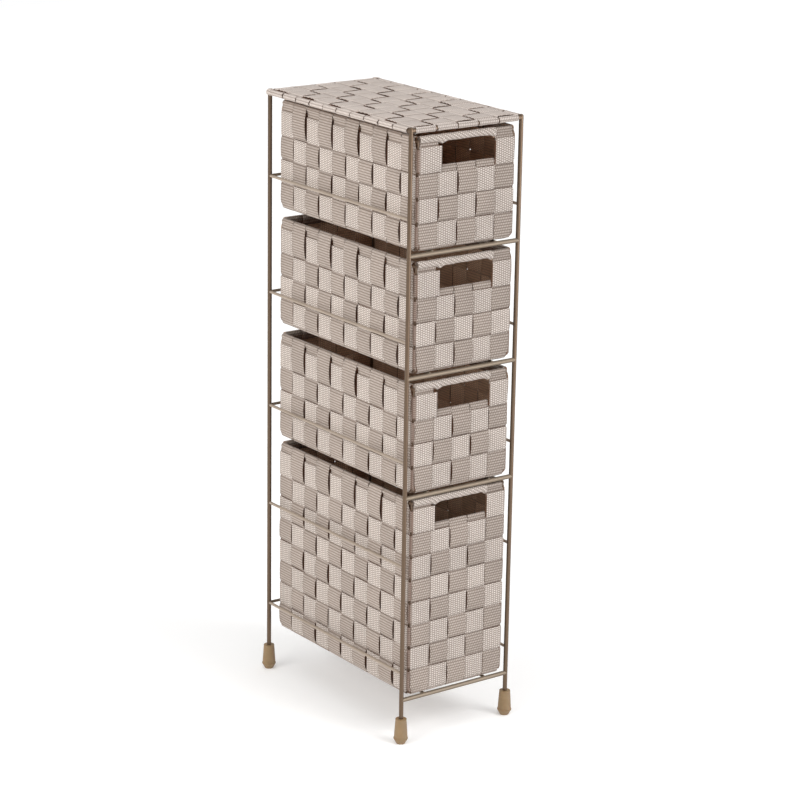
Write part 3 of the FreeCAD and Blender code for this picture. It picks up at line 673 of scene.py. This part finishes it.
def grip_object(drawer):
    """Object of the sleeve, closed at both ends, with its ribs laid in a spiral."""
    points, stations = grip_points(drawer)
    girth = math.pi * (GRIP_HALF_HEIGHT + GRIP_HALF_DEPTH)
    faces = []
    along = []
    across = []
    for step in range(GRIP_STATIONS - 1):
        here = step * GRIP_SIDES
        ahead = here + GRIP_SIDES
        left = stations[step]
        right = stations[step + 1]
        for index in range(GRIP_SIDES):
            after = (index + 1) % GRIP_SIDES
            faces.append((here + index, here + after, ahead + after, ahead + index))
            near = girth * index / GRIP_SIDES
            far = girth * (index + 1) / GRIP_SIDES
            across += [near, far, far, near]
            along += [left + GRIP_SPIRAL * near, left + GRIP_SPIRAL * far,
                      right + GRIP_SPIRAL * far, right + GRIP_SPIRAL * near]
    last = (GRIP_STATIONS - 1) * GRIP_SIDES
    faces.append(list(range(GRIP_SIDES))[::-1])
    faces.append([last + index for index in range(GRIP_SIDES)])
    along += [0.0] * (2 * GRIP_SIDES)
    across += [0.0] * (2 * GRIP_SIDES)
    levels = {"inner": 0.0, "painted_shade": 0.0, "tone": draw.random()}
    values = {key: np.full(len(points), level) for key, level in levels.items()}
    name = "drawer_%s_grip_sleeve" % drawer.tier
    rounded = [len(face) == 4 for face in faces]
    return mesh_object(name, points, faces, along, across, values, rounded)


# Top panel

def panel_run(half, level, centres, pitch, outside):
    """Run of a panel strap: round the far wire, over the panel and round the near wire."""
    cells = cells_of([-centre for centre in centres], -half, pitch, outside)
    top = level + PANEL_FOLD_RADIUS
    under = level - PANEL_FOLD_RADIUS
    stretches = [
        straight((half - PANEL_TAIL, under), (1, 0), PANEL_TAIL),
        bend((half, level), PANEL_FOLD_RADIUS, -90, 90),
        straight((half, top), (-1, 0), 2 * half, (0.0, PANEL_UNDER, 0.0), cells, ramp=PANEL_RAMP,
                 belly=PANEL_BELLY, rise=PANEL_OVER - PANEL_UNDER, shade=PANEL_SHADE),
        bend((-half, level), PANEL_FOLD_RADIUS, 90, 270),
        straight((-half, under), (1, 0), PANEL_TAIL),
    ]
    return joined(stretches, False)


def cover_posts(mesh, half, level, inner_edge):
    """Folds of strap that close the panel's rear corners over the ends of the posts."""
    outer_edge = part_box("rear_left_post")[1].y + COVER_PROUD
    width = outer_edge - inner_edge
    place = (outer_edge + inner_edge) / 2
    top = level + COVER_RADIUS
    under = level - COVER_RADIUS
    right = [
        straight((half - PANEL_TAIL, under), (1, 0), PANEL_TAIL),
        bend((half, level), COVER_RADIUS, -90, 90),
        straight((half, top), (-1, 0), COVER_REACH, (0.0, 0.0, PANEL_UNDER)),
    ]
    left = [
        straight((COVER_REACH - half, top), (-1, 0), COVER_REACH, (PANEL_UNDER, 0.0, 0.0)),
        bend((-half, level), COVER_RADIUS, 90, 270),
        straight((-half, under), (1, 0), PANEL_TAIL),
    ]
    for stretches in (right, left):
        strap_body(mesh, joined(stretches, False), across_map, (0, 1, 0), width, place, wander=0.0)


def panel_straps():
    """Both sets of straps of the top panel."""
    wires_low, wires_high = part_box("top_panel_wires")
    long_low, long_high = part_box("top_panel_long_straps")
    cross_low, cross_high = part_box("top_panel_cross_straps")
    level = (wires_low.z + wires_high.z) / 2
    radius = (wires_high.z - wires_low.z) / 2
    half_x = wires_high.x - radius
    half_y = wires_high.y - radius
    columns = evenly(long_low.x, long_high.x, PANEL_LONG_WIDTH, PANEL_COLUMNS)
    rows = evenly(cross_low.y, cross_high.y, PANEL_CROSS_WIDTH, PANEL_ROWS)
    long_width = PANEL_LONG_WIDTH - PANEL_SLIT
    cross_width = PANEL_CROSS_WIDTH - PANEL_SLIT
    long_mesh = new_straps()
    for column, x in enumerate(columns):
        outside = [(column + PANEL_ROWS - 1 - row) % 2 == 0 for row in range(PANEL_ROWS)]
        run = panel_run(half_y, level, rows, rows[1] - rows[0], outside)
        strap_body(long_mesh, run, deep_map, (1, 0, 0), long_width, x, crown=PANEL_CROWN,
                   wander=PANEL_WANDER)
    cross_mesh = new_straps()
    for row, y in enumerate(rows):
        outside = [(column + PANEL_ROWS - 1 - row) % 2 == 1 for column in range(PANEL_COLUMNS)]
        run = panel_run(half_x, level, columns, columns[1] - columns[0], outside)
        strap_body(cross_mesh, run, across_map, (0, 1, 0), cross_width, y, crown=PANEL_CROWN,
                   wander=PANEL_WANDER)
    cover_posts(cross_mesh, half_x, level, rows[-1] + cross_width / 2)
    return long_mesh, cross_mesh


# Materials

class Graph:
    """A material and a short way to write its nodes."""

    def __init__(self, name):
        self.material = bpy.data.materials.new(name)
        self.material.use_nodes = True
        self.tree = self.material.node_tree
        self.shader = self.tree.nodes["Principled BSDF"]

    def put(self, socket, value):
        """Set a socket to a number or colour, or link it to another node's output."""
        if isinstance(value, bpy.types.NodeSocket):
            self.tree.links.new(value, socket)
        else:
            socket.default_value = value

    def node(self, kind, inputs=(), output=0, **settings):
        """New node with settings; returns the socket of its output."""
        made = self.tree.nodes.new(kind)
        for name, value in settings.items():
            setattr(made, name, value)
        for key, value in dict(inputs).items():
            self.put(made.inputs[key], value)
        return made.outputs[output]

    def math(self, operation, first, second=0.0):
        """One sum, product or function of numbers."""
        return self.node("ShaderNodeMath", {0: first, 1: second}, operation=operation)

    def plus(self, first, second):
        """Sum of two numbers."""
        return self.math("ADD", first, second)

    def times(self, first, second):
        """Product of two numbers."""
        return self.math("MULTIPLY", first, second)

    def varied(self, share, least, spread):
        """The least number plus a share of the spread."""
        return self.plus(least, self.times(share, spread))

    def wave(self, place):
        """Half a sine wave over each unit."""
        return self.math("SINE", self.times(self.math("FRACT", place), math.pi))

    def mix(self, share, first, second, **settings):
        """Blend of two colours."""
        inputs = {0: share, 6: first, 7: second}
        return self.node("ShaderNodeMix", inputs, output=2, data_type="RGBA", **settings)

    def value(self, name):
        """A point value of the mesh."""
        return self.node("ShaderNodeAttribute", output=2, attribute_name=name)

    def eased(self, value, limits):
        """Eased ramp from 0 to 1 between two limits."""
        inputs = {"Value": value, "From Min": limits[0], "From Max": limits[1]}
        return self.node("ShaderNodeMapRange", inputs, interpolation_type="SMOOTHSTEP")

    def noise(self, **inputs):
        """Noise in the object's own coordinates."""
        place = self.node("ShaderNodeTexCoord", output=3)
        return self.node("ShaderNodeTexNoise", {"Vector": place, **inputs})

    def bump(self, height, strength, distance):
        """Normal raised by a height."""
        inputs = {"Height": height, "Strength": strength, "Distance": distance}
        return self.node("ShaderNodeBump", inputs)

    def shade(self, **values):
        """Set sockets of the shader."""
        for name, value in values.items():
            self.put(self.shader.inputs[name.replace("_", " ")], value)


def srgb(red, green, blue):
    """Linear colour, with alpha, of a colour given as 0 to 255."""
    linear = []
    for part in (red, green, blue):
        part = part / 255
        linear.append(part / 12.92 if part <= 0.04045 else ((part + 0.055) / 1.055) ** 2.4)
    return (*linear, 1.0)


# Painted shade: the deep brown of a strap where it passes under another one
PAINTED_SHADE_BROWN = srgb(105, 68, 45)
# Painted warm light for the inside of the baskets: a warm colour and a warm tint for the inner
# faces
PAINTED_INNER_LIGHT = srgb(224, 184, 152)
PAINTED_INNER_TINT = (1.55, 1.24, 1.02, 1.0)


def strap_material(name, yarn, light, groove, speckle, dot_pitch, rib_power):
    """Coarse woven strap: ribs across its length, each a row of thick yarn loops with light tips
    over dark grooves, partly the yarn's own speckle and partly painted highlight and painted shade.
    Painted shade turns it deep brown under other straps, and painted warm light tints it inside the
    baskets."""
    graph = Graph(name)
    split = graph.tree.nodes.new("ShaderNodeSeparateXYZ")
    graph.put(split.inputs[0], graph.node("ShaderNodeUVMap", uv_map="strap"))
    tone = graph.value("tone")
    painted_shade = graph.value("painted_shade")
    inner = graph.value("inner")
    shift = graph.times(tone, TONE_SHIFT)
    along = graph.plus(graph.times(split.outputs[0], 1.0 / RIB_PITCH), shift)
    rib_number = graph.math("FLOOR", along)
    stagger = graph.times(graph.math("MODULO", rib_number, 2.0), STAGGER)
    across = graph.plus(graph.times(split.outputs[1], 1.0 / dot_pitch), stagger)
    dot_number = graph.math("FLOOR", across)
    rib = graph.math("POWER", graph.wave(along), rib_power)
    loop = graph.times(rib, graph.wave(across))
    seed = graph.times(tone, TONE_SEED)
    cell = graph.node("ShaderNodeCombineXYZ", {0: rib_number, 1: dot_number, 2: seed})
    chance = graph.node("ShaderNodeTexWhiteNoise", {0: cell}, noise_dimensions="3D")
    patch = graph.noise(Scale=PATCH_SCALE, Detail=3.0)
    fibre = graph.noise(Scale=FIBRE_SCALE, Detail=2.0)
    # Dark grooves and light loop tips: partly the yarn's own speckle, partly painted shade and
    # painted highlight
    colour = graph.mix(graph.eased(loop, LOOP_SHOWN), groove, yarn)
    tip_share = graph.varied(chance, TIP_LEAST, 1 - TIP_LEAST)
    tip_highlight = graph.times(graph.times(graph.eased(loop, TIP_SHOWN), tip_share), speckle)
    colour = graph.mix(tip_highlight, colour, light)
    value = graph.plus(graph.times(tone, TONE_SHARE), graph.times(patch, PATCH_SHARE))
    value = graph.plus(value, graph.times(fibre, FIBRE_SHARE))
    value = graph.plus(value, LEAST_VALUE)
    colour = graph.node("ShaderNodeHueSaturation", {"Value": value, "Color": colour})
    outer = graph.math("SUBTRACT", 1.0, inner)
    # Painted shade: outer faces turn deep brown where the strap passes under another one
    colour = graph.mix(graph.times(graph.times(painted_shade, outer), PAINTED_SHADE_SHARE), colour, PAINTED_SHADE_BROWN)
    # Painted warm light on the inner faces of the baskets
    colour = graph.mix(inner, colour, PAINTED_INNER_TINT, blend_type="MULTIPLY")
    colour = graph.mix(graph.times(inner, PAINTED_INNER_SHARE), colour, PAINTED_INNER_LIGHT)
    height = graph.plus(loop, graph.times(fibre, FIBRE_HEIGHT))
    graph.shade(Base_Color=colour, Normal=graph.bump(height, strength=0.55, distance=0.6 * MM),
                Roughness=graph.varied(chance, least=0.62, spread=0.2), Sheen_Weight=0.04,
                Sheen_Roughness=0.5, Specular_IOR_Level=0.2)
    return graph.material


def paint_material(name, colour, shade, metallic=0.4):
    """Satin paint on wire: a fine uneven film, slightly worn and dusty."""
    graph = Graph(name)
    film = graph.noise(Scale=260.0, Detail=4.0)
    cloud = graph.noise(Scale=18.0, Detail=3.0)
    graph.shade(Base_Color=graph.mix(cloud, shade, colour),
                Normal=graph.bump(film, strength=0.12, distance=0.3 * MM),
                Roughness=graph.varied(cloud, least=0.32, spread=0.22), Metallic=metallic)
    return graph.material


def plastic_material(name, colour, shade):
    """Moulded plastic with flow marks and a fine grain."""
    graph = Graph(name)
    flow = graph.noise(Scale=60.0, Detail=5.0, Distortion=1.2)
    grain = graph.noise(Scale=900.0, Detail=2.0)
    graph.shade(Base_Color=graph.mix(flow, shade, colour),
                Normal=graph.bump(grain, strength=0.15, distance=0.2 * MM),
                Roughness=graph.varied(grain, least=0.38, spread=0.15), Subsurface_Weight=0.05)
    return graph.material


# The bands are lighter than the upright straps, though both are one webbing: painted light and
# shade, as light from above leaves the upright straps' level ribs shadowed and the bands' upright
# ribs lit
band_look = strap_material(
    "BandStrap", yarn=srgb(184, 171, 162), light=srgb(235, 227, 220), groove=srgb(86, 71, 61),
    speckle=0.95, dot_pitch=3.1 * MM, rib_power=0.5)
upright_look = strap_material(
    "UprightStrap", yarn=srgb(167, 153, 143), light=srgb(214, 204, 196), groove=srgb(94, 80, 71),
    speckle=0.8, dot_pitch=2.8 * MM, rib_power=1.0)
panel_look = strap_material(
    "PanelStrap", yarn=srgb(196, 184, 176), light=srgb(232, 223, 216), groove=srgb(109, 94, 85),
    speckle=0.8, dot_pitch=2.8 * MM, rib_power=0.8)
frame_look = paint_material("FramePaint", srgb(119, 100, 83), srgb(98, 82, 68), metallic=0.85)
# The rails' and crossbars' paints are lighter copies of the frame's one paint: painted light for
# the light that falls on them
rail_lit_look = paint_material("RailPaintLit", srgb(184, 168, 152), srgb(160, 145, 130))
bar_lit_look = paint_material("CrossbarPaintLit", srgb(135, 120, 103), srgb(115, 102, 87))
wire_look = paint_material("WirePaint", srgb(122, 100, 82), srgb(98, 78, 62))
foot_look = plastic_material("FootPlastic", srgb(153, 128, 93), srgb(122, 98, 68))


# Pieces

def cover_with(thing, look):
    """Make a look the only material of a thing."""
    thing.data.materials.clear()
    thing.data.materials.append(look)


def place_piece(thing, body, slot_name, look, *nodes):
    """Give a piece its material, body and the nodes that it stands for. Its slot name is not used.
    """
    cover_with(thing, look)
    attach(thing, body)
    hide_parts(*nodes)


def node_look(name):
    """Material of a CAD node that is shown as it is."""
    if name.endswith("_foot"):
        return foot_look
    if name.startswith("drawer_"):
        return wire_look
    # Rails and crossbars take the lighter paint copies, as painted light
    if "rails" in name:
        return rail_lit_look
    if "crossbar" in name or "runners" in name:
        return bar_lit_look
    return frame_look


for tier in TIERS:
    drawer = Drawer(tier)
    body = "drawer_%s" % tier
    place_piece(strap_object(body + "_woven_bands", round_bands(drawer)), body, "band_strap",
                band_look, body + "_round_bands")
    place_piece(strap_object(body + "_woven_long_straps", long_straps(drawer)), body,
                "upright_strap", upright_look, body + "_long_straps")
    place_piece(strap_object(body + "_woven_cross_straps", cross_straps(drawer)), body,
                "upright_strap", upright_look, body + "_cross_straps")
    place_piece(grip_object(drawer), body, "band_strap", band_look, body + "_grip_wrap")

panel_long, panel_cross = panel_straps()
place_piece(strap_object("panel_woven_long_straps", panel_long), "tower", "panel_strap",
            panel_look, "top_panel_long_straps")
place_piece(strap_object("panel_woven_cross_straps", panel_cross), "tower", "panel_strap",
            panel_look, "top_panel_cross_straps")

for node_name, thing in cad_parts.items():
    if not thing.hide_render:
        cover_with(thing, node_look(node_name))


# Floor, light and camera

def floor_object():
    """Wide pale floor."""
    data = bpy.data.meshes.new("floor")
    sides = [(-1, -1), (1, -1), (1, 1), (-1, 1)]
    points = [(x * FLOOR_REACH, y * FLOOR_REACH, 0) for x, y in sides]
    data.from_pydata(points, [], [(0, 1, 2, 3)])
    thing = linked("floor", data)
    graph = Graph("Floor")
    graph.shade(Base_Color=(0.85, 0.85, 0.85, 1.0), Roughness=0.9,
                Emission_Color=(1.0, 1.0, 1.0, 1.0), Emission_Strength=0.22)
    data.materials.append(graph.material)


def outwards(azimuth, elevation):
    """Direction from the tower, angles in degrees. Azimuth 0 is towards -Y and 90 towards +X."""
    turn = math.radians(azimuth)
    rise = math.radians(elevation)
    return Vector((math.sin(turn) * math.cos(rise), -math.cos(turn) * math.cos(rise),
                   math.sin(rise)))


def aim(thing, direction):
    """Turn a light to shine in a direction."""
    thing.rotation_mode = "QUATERNION"
    thing.rotation_quaternion = direction.to_track_quat("-Z", "Y")


def area_light(name, position, target, width, power, colour=(1, 1, 1), glossy=False):
    """Soft square light aimed at a point, either for gloss alone or for all but gloss."""
    lamp = bpy.data.lights.new(name, "AREA")
    lamp.size = width
    lamp.energy = power
    lamp.color = colour
    thing = linked(name, lamp)
    thing.location = position
    thing.visible_glossy = glossy
    thing.visible_diffuse = not glossy
    aim(thing, Vector(target) - Vector(position))


def sun_light(name, azimuth, elevation, strength, spread):
    """Sun-like lamp with soft shadows, angles in degrees."""
    lamp = bpy.data.lights.new(name, "SUN")
    lamp.energy = strength
    lamp.angle = math.radians(spread)
    aim(linked(name, lamp), -outwards(azimuth, elevation))


def studio_world():
    """White surroundings: a full white backdrop that lights the scene more weakly."""
    world = bpy.data.worlds.new("studio")
    world.use_nodes = True
    nodes = world.node_tree.nodes
    backdrop = nodes["Background"]
    backdrop.inputs[0].default_value = (1, 1, 1, 1)
    ray = nodes.new("ShaderNodeLightPath")
    strength = nodes.new("ShaderNodeMapRange")
    strength.inputs["To Min"].default_value = WORLD_LIGHT
    strength.inputs["To Max"].default_value = BACKDROP
    world.node_tree.links.new(ray.outputs["Is Camera Ray"], strength.inputs["Value"])
    world.node_tree.links.new(strength.outputs[0], backdrop.inputs[1])
    bpy.context.scene.world = world


def photo_camera():
    """Camera fitted to the photograph."""
    photo_side = 800
    focal_pixels = 2695
    sensor = 36.0
    azimuth = -36.29
    elevation = 16.62
    roll = math.radians(0.94)
    distance = 3.662
    pivot = Vector((0, 0, 0.415))
    slide_right = 0.0156
    slide_up = 0.0090
    back = outwards(azimuth, elevation)
    right = Vector((math.cos(math.radians(azimuth)), math.sin(math.radians(azimuth)), 0))
    up = back.cross(right)
    rolled_right = math.cos(roll) * right + math.sin(roll) * up
    rolled_up = -math.sin(roll) * right + math.cos(roll) * up
    place = pivot + slide_right * rolled_right + slide_up * rolled_up + distance * back
    data = bpy.data.cameras.new("photo_camera")
    data.sensor_width = sensor
    data.lens = sensor * focal_pixels / photo_side
    data.clip_end = 100
    data.dof.use_dof = False
    thing = linked("photo_camera", data)
    turn = Matrix((rolled_right, rolled_up, back)).transposed()
    thing.matrix_world = Matrix.Translation(place) @ turn.to_4x4()
    bpy.context.scene.camera = thing


floor_object()
area_light("left", position=(-2.45, -0.15, 1.45), target=(0, -0.05, 0.6), width=1.8, power=36.0,
           colour=(1.0, 0.985, 0.955))
area_light("right_gloss", position=(1.05, -2.25, 0.6), target=(0, 0, 0.4), width=1.1, power=32.0,
           glossy=True)
sun_light("front_right", azimuth=22, elevation=44, strength=1.08, spread=26)
sun_light("top", azimuth=0, elevation=78, strength=0.75, spread=60)
studio_world()
bpy.context.scene.view_settings.view_transform = "Standard"
photo_camera()
